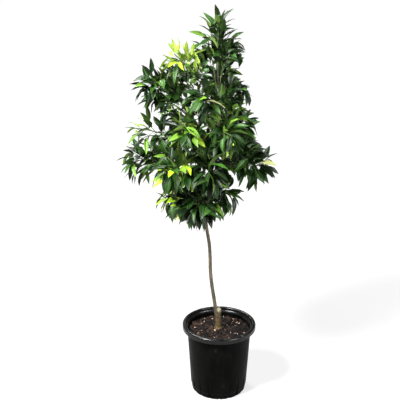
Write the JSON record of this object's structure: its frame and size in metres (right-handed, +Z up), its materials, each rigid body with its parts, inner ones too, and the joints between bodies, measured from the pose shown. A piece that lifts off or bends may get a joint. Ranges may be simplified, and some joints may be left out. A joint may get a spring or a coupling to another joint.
{
  "type": "potted mandarin orange tree",
  "caption": "Slim young citrus tree with a leaning bare stem and a tall, open crown of glossy leaves, growing in a round black plastic nursery pot.",
  "frame": {"origin": "centre of the flat underside of the pot", "axes": "+Z up along the axis of the pot; the side shown in the picture looks towards -Y; +X is the viewer's right"},
  "size_m": [0.5891, 0.4601, 1.4556],
  "materials": {
    "black_plastic": "moulded black plastic with a soft satin sheen and a little dust",
    "bark_mix": "damp dark bark chips with a few pale specks",
    "trunk_bark": "grey green bark with fine paler streaks, olive at the foot",
    "green_bark": "smooth dull green bark of young branches",
    "leaf": "glossy dark green leaf, paler and duller beneath",
    "young_leaf": "soft lime green leaf of new growth"
  },
  "bodies": {
    "root": {"pot": "black_plastic", "potting_mix": "bark_mix", "trunk": "trunk_bark", "bough_high_back": "green_bark", "bough_high_back_left": "green_bark", "bough_high_front": "green_bark", "bough_high_left": "green_bark", "bough_high_right": "green_bark", "bough_low_back": "green_bark", "bough_low_back_left": "green_bark", "bough_low_back_right": "green_bark", "bough_low_front": "green_bark", "bough_low_front_left": "green_bark", "bough_low_left": "green_bark", "bough_low_right": "green_bark", "bough_middle_back_left": "green_bark", "bough_middle_back_right": "green_bark", "bough_middle_front_left": "green_bark", "bough_middle_front_right": "green_bark", "bough_middle_left": "green_bark", "bough_middle_right": "green_bark", "bough_skirt_back": "green_bark", "bough_skirt_front": "green_bark", "bough_skirt_left": "green_bark", "bough_skirt_right": "green_bark", "bough_top_back": "green_bark", "bough_top_left": "green_bark", "bough_top_right": "green_bark", "foliage_high_back": "leaf", "foliage_high_back_left": "leaf", "foliage_high_front": "leaf", "foliage_high_left": "leaf", "foliage_high_right": "leaf", "foliage_leader": "leaf", "foliage_low_back": "leaf", "foliage_low_back_left": "leaf", "foliage_low_back_right": "leaf", "foliage_low_front": "leaf", "foliage_low_front_left": "leaf", "foliage_low_left": "leaf", "foliage_low_right": "leaf", "foliage_middle_back_left": "leaf", "foliage_middle_back_right": "leaf", "foliage_middle_front_left": "leaf", "foliage_middle_front_right": "leaf", "foliage_middle_left": "leaf", "foliage_middle_right": "leaf", "foliage_skirt_back": "leaf", "foliage_skirt_front": "leaf", "foliage_skirt_left": "leaf", "foliage_skirt_right": "leaf", "foliage_top_back": "leaf", "foliage_top_left": "young_leaf", "foliage_top_right": "leaf"}
  },
  "joints": []
}
